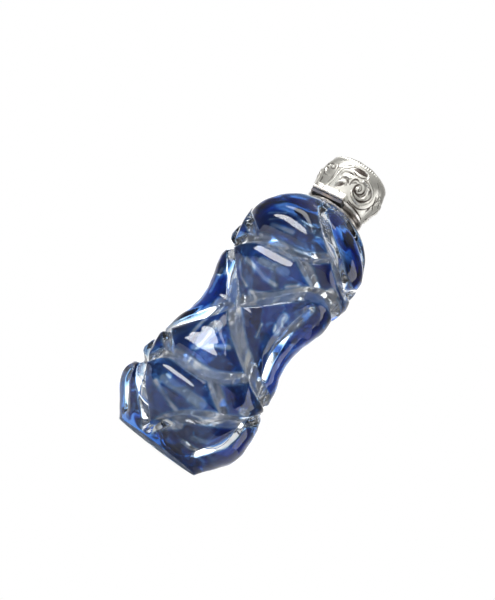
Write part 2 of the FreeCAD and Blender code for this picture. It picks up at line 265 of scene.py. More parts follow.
# Strokes of the cutting wheel, as in the CAD. Each has its line of (degrees round from the hinge's side
# towards +X, millimetres up), its half width, its depth, and how far round it is repeated.
BOTH = (0, 180)
STROKES = [
    ([(16, 91), (35, 83), (64, 76), (88, 75), (117, 77.5), (137, 65)], 2.6, 1.9, BOTH),
    ([(51, 93.5), (76, 90.5), (102, 86)], 2.0, 1.2, BOTH),
    ([(-43, 65), (-10, 52), (28, 40), (66, 32.5), (98, 31), (122, 28), (148, 18)], 2.6, 2.0, BOTH),
    ([(-32, 18), (-14, 9), (2, 2)], 2.4, 1.8, BOTH),
    ([(-1, 48), (30, 56), (60, 66), (98, 68), (137, 65)], 2.5, 1.9, BOTH),
    ([(-103, 21), (-66, 29), (-33, 36), (-1, 48)], 2.5, 1.9, BOTH),
    ([(9, 2), (36, 12), (77, 21)], 2.5, 1.8, BOTH),
    ([(-43, 65), (-14, 69.5), (25, 71), (50, 78)], 2.3, 1.6, BOTH),
    ([(25, 71), (54, 67)], 2.1, 1.4, BOTH),
    ([(-14, 69.5), (-50, 78)], 2.0, 1.4, BOTH),
    ([(-32, 18), (-11, 24), (27, 25), (58, 33)], 2.3, 1.7, BOTH),
    ([(27, 25), (53, 18.5)], 2.1, 1.4, BOTH),
    ([(-11, 24), (-50, 32)], 2.0, 1.4, BOTH),
    ([(66, 61), (68, 48), (72, 36)], 2.2, 1.4, BOTH),
    ([(79, 21), (67, 4)], 2.2, 1.5, BOTH),
    ([(-39, 13), (-38, 3)], 2.0, 1.4, BOTH),
    ([(-32, 18), (-63, 19.5), (-103, 21)], 2.3, 1.9, (0,)),
]

# Soft-edged places where the blue skin is ground thin. Each has its line of (degrees, millimetres up), its
# half width, and how much of the skin is gone.
THINNED = [
    ([(-28, 68.5), (-32, 65.3)], 0.7, 1),
    ([(-15, 61.1), (-13, 58.7), (-7, 56.4), (3, 54.7)], 0.55, 1),
    ([(9, 53.6), (23, 55.6)], 0.9, 1),
    ([(33, 61.1), (41, 63.9)], 0.6, 1),
    ([(4, 63.5), (25, 64.5)], 1.5, 0.75),
    ([(-10, 61.9), (1, 60.9), (14, 59.4), (25, 59.6)], 0.8, 0.9),
    ([(67, 69.6), (75, 69.7)], 1.5, 1),
    ([(59, 63.1), (67, 65.3)], 0.5, 1),
    ([(50, 53.7), (53, 49.6)], 1.6, 1),
    ([(66, 56.7), (69, 40.2)], 0.8, 1),
    ([(-13, 47.8), (-27, 40.8)], 1.1, 1),
    ([(-11, 39.2), (-7, 30.9)], 0.8, 1),
    ([(3, 39.1), (4, 32.1)], 2.1, 1),
    ([(2, 29.0), (25, 35.4)], 1, 0.9),
    ([(55, 36.7), (66, 30.6)], 0.9, 1),
    ([(65, 22.7), (73, 23.3)], 1.2, 1),
    ([(68, 20.0), (66, 18.0)], 0.6, 1),
    ([(1, 16.1), (34, 16.3)], 1.8, 0.8),
    ([(-4, 14.0), (21, 10.5)], 0.9, 1),
    ([(12, 2.8), (32, 7.4)], 1.2, 1),
    ([(44, 4.8), (60, 5.1)], 1, 1),
    ([(47, 7.2), (57, 8.7)], 1, 0.7),
    ([(69, 5.8), (69, 10.0)], 0.5, 1),
    ([(-17, 78.7), (-4, 80.8)], 0.5, 1),
    ([(-12, 76.6), (0, 79.3)], 0.45, 0.9),
    ([(-7, 75.2), (11, 76.2)], 0.9, 0.9),
    ([(11, 79.9), (27, 80.9)], 1.6, 0.7),
    ([(71, 76.5), (72, 74.5)], 0.8, 1),
    ([(4, 51.9), (7, 49.1)], 0.5, 1),
    ([(-30, 57.9), (-29, 55.1)], 0.45, 1),
    ([(37, 47.7), (40, 43.7)], 0.45, 1),
    ([(-36, 56.4), (-37, 53.7), (-36, 48.8)], 1, 0.8),
    ([(-32, 8.2), (-34, 3.8)], 1.2, 0.8),
]

# Places where the skin runs thick, given the same way, with how much of the skin is added.
THICKENED = [
    ([(58, 86.1), (71, 82.2), (85, 78.9)], 2.6, 0.8),
    ([(-30, 83.7), (-32, 76.2)], 2.2, 0.6),
    ([(-8, 87.0), (11, 87.6)], 1.6, 0.5),
    ([(20, 55.6), (25, 51.1), (36, 41.6)], 1.8, 0.6),
    ([(-28, 53.0), (-24, 50.0)], 1.6, 0.5),
    ([(48, 73.6), (57, 70.9)], 1.8, 0.8),
    ([(50, 24.4), (61, 24.3)], 1.8, 0.7),
    ([(49, 16.1), (66, 13.6)], 2, 0.6),
    ([(8, 1.3), (41, 0.9), (80, 1.6)], 1.6, 0.4),
    ([(86, 19.6), (90, 12.1), (103, 6.5)], 1.6, 0.6),
    ([(79, 63.8), (91, 57.7)], 1.6, 0.6),
    ([(-33, 14.9), (-24, 12.4)], 1.6, 0.6),
    ([(33, 35.0), (39, 30.3)], 1.6, 0.5),
]
THICKEST = 1.8

# Each lozenge swells between its cuts: how far, how suddenly, and how far in from a cut's edge.
SWELL, SWELL_SOFTNESS, SWELL_REACH = 0.3, 0.6, 2.8
# How far the polished surface waves in and out.
WAVE = 0.05
# Heights between which both fade out at the foot and at the shoulder, and where the skin ends.
FOOT_FADE, SHOULDER_FADE, SKIN_END = (0.0, 3.0), (92.0, 95.0), (91.5, 93.8)


def smooth_path(points, step):
    """A Catmull-Rom curve through the points, sampled about step apart."""
    points = np.array(points, float)
    padded = np.vstack([2 * points[0] - points[1], points, 2 * points[-1] - points[-2]])
    out = []
    for i in range(1, len(padded) - 2):
        p0, p1, p2, p3 = padded[i - 1:i + 3]
        count = max(2, int(np.linalg.norm(p2 - p1) / step))
        t = np.linspace(0, 1, count, endpoint=False)[:, None]
        bend = (2 * p0 - 5 * p1 + 4 * p2 - p3) * t**2
        out.append(0.5 * (2 * p1 + (p2 - p0) * t + bend + (3 * p1 - p0 - 3 * p2 + p3) * t**3))
    return np.vstack(out + [points[-1:]])


def on_profile(profile, turn, height):
    """Points on the lathe surface at those degrees round and heights."""
    radius = np.interp(height, profile[:, 1], profile[:, 0])
    angle = np.radians(turn)
    return np.column_stack([radius * np.sin(angle), -radius * np.cos(angle), height])


def distance_to(path, points):
    """Each point's distance to a line of points, and how far along it the nearest spot is, from 0 to 1."""
    nearest = np.full(len(points), 1e9)
    along = np.zeros(len(points))
    for i, (start, end) in enumerate(zip(path, path[1:])):
        run = end - start
        t = np.clip((points - start) @ run / (run @ run), 0, 1)
        gap = np.linalg.norm(points - start - t[:, None] * run, axis=1)
        closer = gap < nearest
        nearest[closer] = gap[closer]
        along[closer] = (i + t[closer]) / (len(path) - 1)
    return nearest, along


def cut_field(profile, points):
    """For points of the uncut surface: the cut's depth, the distance to a cut's edge, and how much of the
    blue skin is gone and how much is added."""
    deep, thin, thick = np.zeros(len(points)), np.zeros(len(points)), np.zeros(len(points))
    edge = np.full(len(points), 30.0)

    def close_to(path, reach):
        return np.flatnonzero(((points > path.min(0) - reach) & (points < path.max(0) + reach)).all(axis=1))

    for patches, field, soft in ((THINNED, thin, 0.55), (THICKENED, thick, 2.0)):
        for patch, half_width, share in patches:
            for turn in BOTH:
                path = on_profile(profile, np.array(patch)[:, 0] + turn, np.array(patch)[:, 1])
                near = close_to(path, 6)
                gap, _ = distance_to(path, points[near])
                cover = 1 - smooth(half_width - soft, half_width + soft, gap)
                field[near] = np.maximum(field[near], share * cover)
    for stroke, half_width, depth, turns in STROKES:
        track = smooth_path(stroke, 2.5)
        for turn in turns:
            path = on_profile(profile, track[:, 0] + turn, track[:, 1])
            near = close_to(path, 9)
            gap, along = distance_to(path, points[near])
            width = half_width * (0.72 + 0.28 * np.sin(np.pi * np.clip(along, 0.02, 0.98)))
            deep[near] = np.maximum(deep[near], depth * np.clip(1 - gap / width, 0, 1))
            edge[near] = np.minimum(edge[near], gap - width)
    return deep, edge, thin, thick


def surface_waves(turn, height):
    """The slow waves of a hand-polished surface, from about -1 to 1."""
    slant = np.sin(np.radians(turn * 7) + height * 0.55)
    cross = 0.6 * np.sin(np.radians(turn * 12) - height * 0.9 + 1.3)
    wave = slant * np.sin(height * 0.8 - np.radians(turn * 4))
    return wave + cross * np.sin(np.radians(turn * 5) + height * 0.35)


def glass_rings(turns, step):
    """The rings of the cut outside wall, the skin's thickness at each point, and each column's way out."""
    wall = waisted(HEEL, LOW_BULGE, WAIST, HIGH_BULGE, CASING_TOP, step)
    outer = np.array([FOOT] + line(FOOT, HEEL, int(HEEL_CHAMFER / step)) + wall)
    normals = outward_normals(outer)
    angle = np.radians(np.arange(turns) * 360.0 / turns)
    across = np.column_stack([np.sin(angle), -np.cos(angle)])
    rows = len(outer)
    points = np.empty((rows, turns, 3))
    points[:, :, :2] = outer[:, 0][:, None, None] * across[None]
    points[:, :, 2] = outer[:, 1][:, None]
    fields = cut_field(outer, points.reshape(-1, 3))
    deep, edge, thin, thick = (field.reshape(rows, turns) for field in fields)
    height = outer[:, 1][:, None]
    fade = smooth(*FOOT_FADE, height) * (1 - smooth(*SHOULDER_FADE, height))
    swell = SWELL * SWELL_SOFTNESS * np.logaddexp(0, (SWELL_REACH - edge) / SWELL_SOFTNESS) * fade
    wave = surface_waves(np.degrees(angle)[None], height)
    sink = deep + swell + WAVE * (1 + wave) * fade * (1 - smooth(0.0, 0.3, deep))
    inward = np.empty_like(points)
    inward[:, :, :2] = -normals[:, 0][:, None, None] * across[None]
    inward[:, :, 2] = -normals[:, 1][:, None]
    points += sink[:, :, None] * inward
    points[0, :, 2] = 0.0
    skin = smooth(-0.7, 0.8, edge) * (1 - smooth(*SKIN_END, height)) * (1 - thin) * (1 + thick)
    return points, skin, across


def plain_ring(radius, height, across):
    """A level ring of points round the axis."""
    ring = np.empty((len(across), 3))
    ring[:, :2] = radius * across
    ring[:, 2] = height
    return ring


def build_glass():
    """The glass as one closed mesh. The faces of its bore and cavity take the second material."""
    turns = 640
    points, skin, across = glass_rings(turns, 0.26)
    base = [plain_ring(radius, height, across) for radius, height in BASE_RINGS]
    neck = [SHOULDER_EDGE] + line(SHOULDER_EDGE, LEDGE_EDGE, 3) + NECK
    cavity = [CAVITY_FLOOR] + waisted(
        CAVITY_FLOOR, CAVITY_LOW, CAVITY_WAIST, CAVITY_HIGH, CAVITY_TOP, CAVITY_STEP
    )
    lathe = [plain_ring(radius, height, across) for radius, height in neck + cavity[::-1] + CAVITY_BOTTOM]
    mesh = lathe_mesh("cut_glass", base + list(points) + lathe)
    head, tail = len(base) * turns, len(lathe) * turns
    spread(mesh, "casing", np.concatenate([np.zeros(head), skin.ravel(), np.zeros(tail)]))
    inside = np.zeros(len(mesh.polygons), np.int32)
    inside[(len(base) + len(points) + len(neck)) * turns:] = 1
    mesh.polygons.foreach_set("material_index", inside)
    return mesh


# The colour of the clear glass, and how much of red, green and blue a full thickness of skin takes up.
CLEAR_TINT = (0.94, 0.95, 0.95)
SKIN_ABSORPTION = (7.6, 4.5, 2.0)
LEAD_GLASS = 1.56


def film_material():
    """The inner wall of the glass, under a thin grey film of old scent."""
    shader = Shader("filmed_glass")
    cloud = shader.remap(shader.noise(110.0, 2.0, 0.5, 1.0), 0.38, 0.62)
    shader.set(
        Base_Color=shader.blend(cloud, (1.0, 0.98, 0.95, 1), (0.62, 0.62, 0.64, 1)),
        Transmission_Weight=0.68,
        Roughness=0.05,
        IOR=LEAD_GLASS,
        Metallic=0.0,
    )
    return shader.material


def skin_colour(thickness):
    """The colour of clear glass under blue skin of that thickness."""
    return [tint * math.exp(-k * thickness) for tint, k in zip(CLEAR_TINT, SKIN_ABSORPTION)] + [1]


def glass_material():
    """Clear glass under a skin of cobalt blue, whose colour deepens with the skin's thickness."""
    shader = Shader("cased_glass")
    skin = shader.math("DIVIDE", shader.attribute("casing"), THICKEST)
    ramp = shader.node("ShaderNodeValToRGB", Fac=skin)
    levels = ramp.color_ramp
    for index, share in enumerate((0.0, 1.0, 0.07, 0.17, 0.33, 0.6)):
        stop = levels.elements[index] if index < 2 else levels.elements.new(share)
        stop.position = share
    for stop in levels.elements:
        stop.color = skin_colour(stop.position * THICKEST)
    shader.set(
        Base_Color=ramp.outputs["Color"],
        Transmission_Weight=1.0,
        Roughness=0.03,
        IOR=LEAD_GLASS,
        Metallic=0.0,
    )
    shader.bump(shader.noise(420.0, 2.0), 0.03, 0.0004)
    return shader.material


# Heights in metres between which the stopper turns from ground to polished.
GROUND_END = (0.1028, 0.1036)


def stopper_material():
    """Clear glass, ground matt by its bump below the knob, where it seats in the neck."""
    shader = Shader("stopper_glass")
    height = shader.node("ShaderNodeSeparateXYZ", Vector=shader.place()).outputs["Z"]
    ground = shader.remap(height, *GROUND_END, 1.0, 0.04)
    streak = shader.noise(160.0, 2.0)
    shader.set(
        Base_Color=shader.blend(streak, (0.97, 0.98, 0.98, 1), (0.88, 0.91, 0.92, 1)),
        Transmission_Weight=1.0,
        Roughness=0.04,
        IOR=1.5,
        Metallic=0.0,
    )
    shader.bump(shader.math("MULTIPLY", shader.noise(5200.0, 4.0, 0.7), ground), 0.8, 0.0002)
    return shader.material


# ---- silver --------------------------------------------------------------------------------------


def silver_material(name, colour, tarnish, roughness, metal):
    """Old silver: worn bright, with brown tarnish in patches."""
    shader = Shader(name)
    patch = shader.noise(260.0, 4.0, 0.6)
    fine = shader.noise(2400.0, 3.0, 0.6)
    dirt = shader.remap(patch, 0.42, 0.7, 0.0, tarnish)
    shader.set(
        Base_Color=shader.blend(dirt, (*colour, 1), (0.1, 0.075, 0.055, 1)),
        Metallic=metal,
        Roughness=shader.remap(fine, 0.3, 0.7, roughness, roughness + 0.14),
    )
    shader.bump(fine, 0.12, 0.00008)
    return shader.material


def embossed_material():
    """Pale worn silver, oxidised brown and black in the hollows of its relief."""
    shader = Shader("embossed_silver")
    hollow = shader.attribute("hollow")
    patch = shader.noise(300.0, 4.0, 0.6)
    fine = shader.noise(2600.0, 3.0, 0.6)
    stain = shader.math("MULTIPLY", shader.remap(hollow, 0.3, 0.95), shader.remap(patch, 0.3, 0.62, 0.5, 1.0))
    dull = shader.remap(patch, 0.35, 0.7, 0.0, 0.35)
    worn = shader.blend(dull, (0.72, 0.71, 0.66, 1), (0.53, 0.5, 0.44, 1))
    colour = shader.blend(stain, worn, (0.035, 0.022, 0.018, 1))
    shader.set(Base_Color=colour, Metallic=0.8, Roughness=shader.remap(hollow, 0.0, 1.0, 0.3, 0.55))
    shader.bump(fine, 0.12, 0.0001)
    return shader.material


# Relief of the lid, drawn once and set three times round it. Each line runs through (degrees, millimetres up)
# and has a half width and a height, which is below 0 where the line is a hollow.
SCROLLS = [
    ([
        (48, 108.8), (57, 108.4), (63, 107.4), (64, 105.9), (59, 104.3), (52, 103.2), (43, 103.1),
        (37, 103.6), (32, 104.4), (30, 105.3),
    ], 0.28, -0.36),
    ([(54, 108.4), (56, 107.3)], 0.55, -0.42),
    ([
        (32, 108.0), (37, 108.5), (43, 108.3), (47, 107.2), (48, 105.8), (43, 104.8), (37, 104.5),
        (32, 105.1), (30, 106.1), (32, 107.1), (36, 107.6), (40, 107.1), (42, 106.3), (40, 105.6),
    ], 0.32, -0.45),
    ([(14, 111.1), (20, 111.4), (27, 111.5), (34, 111.7)], 0.8, -0.5),
    ([(16, 110.0), (23, 109.5), (30, 109.7), (36, 110.5)], 0.35, -0.35),
    ([(0, 106.9), (1, 108.0), (6, 108.7), (11, 108.9), (16, 109.0)], 0.25, -0.35),
    ([(2, 106.1), (5, 106.6), (10, 106.8), (14, 106.4), (17, 105.8)], 0.42, -0.5),
    ([(3, 103.3), (6, 103.9), (10, 104.6)], 0.6, -0.5),
    ([(21, 105.6), (21, 106.6), (22, 107.7), (26, 108.3), (30, 108.2)], 0.38, -0.5),
    ([(23, 106.3), (26, 107.1), (29, 107.3)], 0.35, -0.4),
    ([
        (-40, 108.0), (-43, 109.7), (-39, 110.6), (-29, 110.5), (-22, 109.7), (-19, 108.6),
        (-23, 108.2), (-29, 108.7), (-31, 109.5),
    ], 0.3, -0.4),
    ([(-49, 109.0), (-43, 107.3), (-36, 106.1), (-27, 105.6)], 0.28, -0.3),
    ([(-39, 105.0), (-40, 103.4)], 0.5, -0.4),
    ([(-19, 111.0), (-14, 109.3), (-13, 107.5), (-15, 104.8), (-20, 102.2)], 0.25, -0.32),
    ([(11, 102.3), (10, 100.4)], 0.25, -0.3),
    ([(30, 101.9), (38, 101.1), (50, 100.7), (65, 100.5), (86, 100.5)], 0.28, -0.32),
    ([(30, 100.9), (39, 100.4), (51, 100.2), (64, 100.1)], 0.28, -0.3),
    ([(59, 112.9), (69, 111.5), (78, 109.7), (86, 107.9)], 0.3, -0.3),
    ([
        (45, 101.3), (55, 101.2), (65, 101.9), (74, 103.5), (79, 105.4), (78, 107.3), (74, 109.1),
    ], 0.28, -0.3),
    ([
        (43, 110.2), (51, 109.6), (59, 108.8), (66, 107.4), (67, 105.7), (62, 104.1), (55, 102.9),
        (45, 102.7), (36, 103.2), (31, 104.1),
    ], 0.42, 0.42),
    ([
        (37, 109.2), (46, 109.2), (52, 108.3), (55, 106.9), (55, 105.2), (49, 104.0), (41, 103.8),
        (35, 104.4), (31, 105.5),
    ], 0.45, 0.5),
    ([(36, 106.6), (35, 105.9), (37, 105.4)], 0.4, 0.5),
    ([(-4, 107.0), (-1, 108.6), (4, 109.4), (11, 109.6), (19, 109.3)], 0.4, 0.35),
    ([(0, 105.7), (3, 106.3), (10, 107.4), (16, 107.4)], 0.4, 0.35),
    ([(0, 102.7), (0, 104.3), (6, 105.3), (13, 105.4), (15, 104.7)], 0.35, 0.35),
    ([
        (2, 111.8), (-3, 110.7), (-8, 109.7), (-11, 108.5), (-13, 106.6), (-16, 104.3), (-19, 102.2),
    ], 0.35, 0.3),
    ([(12, 112.3), (20, 112.7), (30, 112.8), (37, 112.3), (40, 110.8)], 0.4, 0.35),
    ([(-37, 107.2), (-38, 108.7), (-32, 109.5), (-25, 109.2)], 0.4, 0.4),
]

# A row of beads up the lid, set three times round it like the scrolls.
BEADED = [
    (9, 112.1), (3, 110.7), (-3, 109.7), (-6, 108.4), (-8, 106.7), (-10, 105.0), (-14, 103.3), (-16, 101.8),
]
BEAD_RADIUS, BEAD_HEIGHT = 0.42, 0.28

# The lid's outlines in (r, z): rim, flare, bulge, crown edge and top, outside and inside.
LID_OUTSIDE = [(10.5, 99.25), (11.5, 105.5), (12.25, 109.5), (10.4, 115.4), (0.0, 118.1)]
LID_INSIDE = [(9.9, 99.25), (10.9, 105.5), (11.65, 109.5), (9.8, 114.8), (0.0, 117.5)]
# The radius of the hollow curve between rim and flare, and the length of each outside curve.
FLARE_CURVE = 40.0
LID_RUNS = (6.4, 4.1, 6.4, 10.8)
# The relief stands on a wall set this far back, so that its highest lines keep to the outline.
RELIEF_ROOM = 0.3

# Relief that runs all the way round: the beading on the crown's edge, at that height and half as wide,
# the mouldings of the rim, up to where they fade, and the rosette on top, from that height upwards.
CROWN_EDGE, EDGE_HALF_WIDTH, CROWN_BEADS = 114.6, 0.45, 72
MOULDING_FOOT, MOULDING_PITCH, MOULDING_DEPTH = 99.35, 0.62, 0.16
MOULDING_FADE = (101.0, 101.4)
ROSETTE_FOOT, ROSETTE_HEIGHT, HALF_TURNS = 115.3, 0.28, 4
ROSETTE_EYE, ROSETTE_RIM = (1.2, 3.0), (7.4, 8.6)
# The worked ground between: where it ends, and the heights of its hammering and hatching.
GROUND_TOP, HAMMERED, HATCHED = 114.0, 0.03, 0.012
# How deep a hollow in the relief, and a sunk line, have to be to take the most tarnish.
DARKEST_HOLLOW, DARKEST_LINE = 0.11, 0.24


def lid_profile(named, counts):
    """Points up a lid's outline, all but the last, on the axis."""
    rim, flare, bulge, crown, top = named
    curves = (
        -FLARE_CURVE,
        rounded(bulge[0] - flare[0], bulge[1] - flare[1]),
        rounded(bulge[0] - crown[0], crown[1] - bulge[1]),
        rounded(top[1] - crown[1], crown[0]),
    )
    points = [rim]
    for start, end, radius, count in zip(named, named[1:], curves, counts):
        points += arc(start, end, radius, count)
    return np.array(points[:-1])


def blurred(field, rows, turns):
    """The field averaged over a square of cells, round the lid without a seam."""
    shifts = range(-turns, turns + 1)
    total = sum(np.roll(field, shift, axis=1) for shift in shifts) / (2 * turns + 1)
    padded = np.pad(total, ((rows, rows), (0, 0)), mode="edge")
    return sum(padded[shift:shift + len(field)] for shift in range(2 * rows + 1)) / (2 * rows + 1)


def drawn_relief(points, profile):
    """How far the scrolls and beads raise each point of the lid's wall, and how far they sink it."""
    raised, sunk = np.zeros(len(points)), np.zeros(len(points))
    for third in (0, 120, 240):
        for drawn, half_width, height in SCROLLS:
            track = smooth_path(drawn, 0.8)
            path = on_profile(profile, track[:, 0] + third, track[:, 1])
            near = np.flatnonzero(((points > path.min(0) - 3) & (points < path.max(0) + 3)).all(axis=1))
            gap, along = distance_to(path, points[near])
            swell = 0.6 + 0.4 * np.sin(np.pi * along)
            ridge = abs(height) * np.exp(-((gap / (half_width * swell)) ** 2))
            side = raised if height > 0 else sunk
            side[near] = np.maximum(side[near], ridge)
        track = smooth_path(BEADED, 0.45)
        for bead in on_profile(profile, track[::2, 0] + third, track[::2, 1]):
            near = np.flatnonzero((abs(points - bead) < 1.0).all(axis=1))
            gap = np.linalg.norm(points[near] - bead, axis=1)
            dome = np.sqrt(np.clip(1 - (gap / BEAD_RADIUS) ** 2, 0, 1))
            raised[near] = np.maximum(raised[near], BEAD_HEIGHT * dome)
    return raised, sunk


def chased(relief, height, reach, turn):
    """The relief with a beaded crown edge, mouldings at the rim, a rosette on top and a worked ground."""
    crown_edge = np.exp(-(((height - CROWN_EDGE) / EDGE_HALF_WIDTH) ** 2))
    relief = np.maximum(relief, crown_edge * (0.22 + 0.14 * np.sin(np.radians(turn * CROWN_BEADS))))
    mouldings = MOULDING_DEPTH * np.cos((height - MOULDING_FOOT) * 2 * np.pi / MOULDING_PITCH)
    relief = np.maximum(relief, mouldings * (1 - smooth(*MOULDING_FADE, height)))
    petals = ROSETTE_HEIGHT * np.abs(np.cos(np.radians(turn * HALF_TURNS))) * smooth(*ROSETTE_EYE, reach)
    relief = np.where(height > ROSETTE_FOOT, petals * (1 - smooth(*ROSETTE_RIM, reach)), relief)
    grain = np.sin(height * 9.1 + turn * 0.9) * np.sin(height * 7.3 - turn * 1.7)
    hatched = smooth(0.1, 0.6, np.sin(np.radians(turn * 3 - 150)))
    hatching = np.sin(np.radians(turn * 96) + height * 1.9) * hatched
    ground = (1 - smooth(0.02, 0.12, np.abs(relief))) * (height < GROUND_TOP)
    return relief + (HAMMERED * grain + HATCHED * hatching) * ground


def build_lid():
    """The embossed lid as one closed mesh, which stores how hollow each spot is, for the tarnish."""
    turns = 480
    step = 0.16
    outer = lid_profile(LID_OUTSIDE, [int(run / step) for run in LID_RUNS])
    angle = np.radians(np.arange(turns) * 360.0 / turns)
    across = np.column_stack([np.sin(angle), -np.cos(angle)])
    normals = outward_normals(outer)
    points = np.empty((len(outer), turns, 3))
    points[:, :, :2] = outer[:, 0][:, None, None] * across[None]
    points[:, :, 2] = outer[:, 1][:, None]
    wall = outer[outer[:, 1] < 116.0]
    raised, sunk = (side.reshape(len(outer), turns) for side in drawn_relief(points.reshape(-1, 3), wall))
    reach, height = outer[:, 0][:, None], outer[:, 1][:, None]
    relief = chased(1.25 * raised - sunk, height, reach, np.degrees(angle)[None]) - RELIEF_ROOM
    cells = max(1, int(round(1.0 / (outer[1, 1] - outer[0, 1]) / 2)))
    hollow = np.clip((blurred(relief, cells, cells) - relief) / DARKEST_HOLLOW, 0, 1)
    hollow = np.maximum(hollow, np.clip(sunk / DARKEST_LINE, 0, 1))
    points[:, :, :2] += (relief * normals[:, 0][:, None])[:, :, None] * across[None]
    points[:, :, 2] += relief * normals[:, 1][:, None]
    points[0, :, 2] = LID_OUTSIDE[0][1]
    inner = [plain_ring(radius, z, across) for radius, z in lid_profile(LID_INSIDE, (12, 8, 10, 14))[::-1]]
    mesh = lathe_mesh("embossed_lid", inner + list(points))
    spread(mesh, "hollow", np.concatenate([np.full(len(inner) * turns, 0.3), hollow.ravel()]))
    return mesh


# The knuckles of the hinge, as in the CAD, the seams over their joints, and the plate's rounded edge.
TUBE_RADIUS, TUBE_CLEARANCE = 0.7, 0.1
SEAM_PLACE, SEAM_DEPTH = 3.0, 0.45
EDGE_ROUND, END_ROUND = 0.5, 0.3
# Radius of the circle inside the lid's wall where the plate ends.
PLATE_BACK = 10.35


def build_hinge_plate():
    """The lid's hinge plate, hollowed over the knuckles and with a seam over each of their joints."""
    corners = [[c / MM for c in corner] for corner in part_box("lid_hinge_plate")]
    (left, front, foot), (right, _, top) = corners
    hinge = next(joint for joint in frame["record"]["behaviour"]["joints"] if joint["name"] == "lid_hinge")
    pin = np.array(hinge["pos_m"][1:]) / MM
    half = [left, left + 0.08, left + END_ROUND]
    half += [shift - SEAM_PLACE for shift in (-0.25, -0.1, 0.0, 0.1, 0.25)]
    quarter_turn = np.linspace(0.0, math.pi / 2, 7)
    rings, hollow = [], []
    for x in half + [0.0] + [-x for x in reversed(half)]:
        seam = SEAM_DEPTH * (1 - smooth(0.1, 0.25, abs(abs(x) - SEAM_PLACE)))
        inset = END_ROUND * (1 - smooth(0.0, END_ROUND, right - abs(x))) + seam
        radius = TUBE_RADIUS + (TUBE_CLEARANCE if abs(x) > SEAM_PLACE - 0.05 else 0.01)
        face, roof, back = front + inset, top - 0.6 * inset, -math.sqrt(PLATE_BACK**2 - x**2)
        start = math.acos(min(1.0, (foot - pin[1]) / radius))
        over_tube = [pin + radius * np.array([math.sin(a), math.cos(a)]) for a in np.linspace(0.0, start, 7)]
        loop = [(max(y, face), z) for y, z in over_tube]
        loop += [(back, foot), (back, roof - 0.4), (back, roof)]
        shoulder = np.array([face + EDGE_ROUND, roof - EDGE_ROUND])
        loop += [shoulder + EDGE_ROUND * np.array([-math.sin(a), math.cos(a)]) for a in quarter_turn]
        loop.append((face, (roof - EDGE_ROUND + pin[1] + radius) / 2))
        rings.append(np.array([(x, y, z) for y, z in loop]))
        hollow += [min(1.0, seam / 0.3)] * len(loop)
    mesh = lathe_mesh("lid_hinge_cover", rings)
    spread(mesh, "hollow", hollow)
    return mesh


def plaster_material():
    """Old plaster, seen only at the foot of the neck."""
    shader = Shader("plaster")
    grain = shader.noise(900.0, 4.0, 0.6)
    shader.set(Base_Color=shader.blend(grain, (0.42, 0.36, 0.3, 1), (0.315, 0.27, 0.225, 1)), Roughness=0.9)
    shader.bump(grain, 0.3, 0.0002)
    return shader.material


def dress(material, *nodes):
    """Gives CAD nodes that stay in view their material."""
    for node in nodes:
        mesh = frame["nodes"][node].data
        mesh.materials.clear()
        mesh.materials.append(material)


# ---- studio --------------------------------------------------------------------------------------

# How far round the photograph is taken from, from the hinge's side towards +X.
FACING = math.radians(27.0)
# The camera's upward tilt and its roll, and its distance from the axis and height, in metres.
TILT, ROLL = math.radians(14.5), math.radians(37.0)
CAMERA_DISTANCE, CAMERA_HEIGHT = 0.274, -0.014
# In pixels of the photograph: its height, the focal length, and how far the view is moved left and up.
PHOTO_HEIGHT, FOCAL_LENGTH = 600.0, 854.6
MOVED_LEFT, MOVED_UP = 14.5, 7.0
SENSOR_WIDTH = 36.0

# Each soft box's azimuth, measured like FACING, and elevation in degrees, its distance and size in
# metres, and its power in watts.
LAMPS = {
    "key": (-17.0, 56.0, 0.9, (1.1, 0.22), 2.5),
    "window": (-20.0, 31.0, 1.0, (1.2, 0.32), 10.0),
    "fill": (118.0, 12.0, 1.1, (0.6, 1.2), 3.6),
    "back": (207.0, 12.0, 1.0, (1.0, 0.8), 2.4),
}
LIT_POINT = Vector((0, 0, 0.055))

# The room's brightness, by how nearly a direction lies along the camera's and by how far up it points.
ALONG_VIEW = ((0.0, 0.1), (0.6, 0.16), (0.85, 0.8), (1.0, 0.95))
UPWARD = ((0.0, 0.0), (0.75, 0.0), (0.9, 0.3), (1.0, 0.5))


def studio_floor():
    """A pale floor that shows from above only, as the photograph's camera is below it."""
    bpy.ops.mesh.primitive_plane_add(size=3.0, location=(0, 0, -0.00002))
    floor = bpy.context.object
    floor.name = "studio_floor"
    shader = Shader("pale_floor")
    grain = shader.noise(30.0, 3.0)
    shader.set(Base_Color=shader.blend(grain, (0.86, 0.86, 0.87, 1), (0.82, 0.82, 0.83, 1)), Roughness=0.6)
    clear = shader.node("ShaderNodeBsdfTransparent").outputs[0]
    below = shader.node("ShaderNodeNewGeometry").outputs["Backfacing"]
    mix = shader.node("ShaderNodeMixShader")
    shader.feed(mix, "0", below)
    shader.feed(mix, "1", shader.surface.outputs[0])
    shader.feed(mix, "2", clear)
    output = next(node for node in shader.tree.nodes if node.type == "OUTPUT_MATERIAL")
    shader.feed(output, "Surface", mix.outputs[0])
    floor.data.materials.append(shader.material)


def studio_light(name, azimuth, elevation, distance, size, power):
    """A soft box aimed at the middle of the bottle, hidden from the camera itself."""
    lamp = bpy.data.lights.new(name, "AREA")
    lamp.shape = "ELLIPSE"
    lamp.size, lamp.size_y = size
    lamp.energy = power
    made = bpy.data.objects.new(name, lamp)
    made.visible_camera = False
    bpy.context.scene.collection.objects.link(made)
    turn, tilt = math.radians(azimuth), math.radians(elevation)
    way = Vector((math.sin(turn) * math.cos(tilt), -math.cos(turn) * math.cos(tilt), math.sin(tilt)))
    made.location = LIT_POINT + way * distance
    made.rotation_euler = (-way).to_track_quat("-Z", "Y").to_euler()


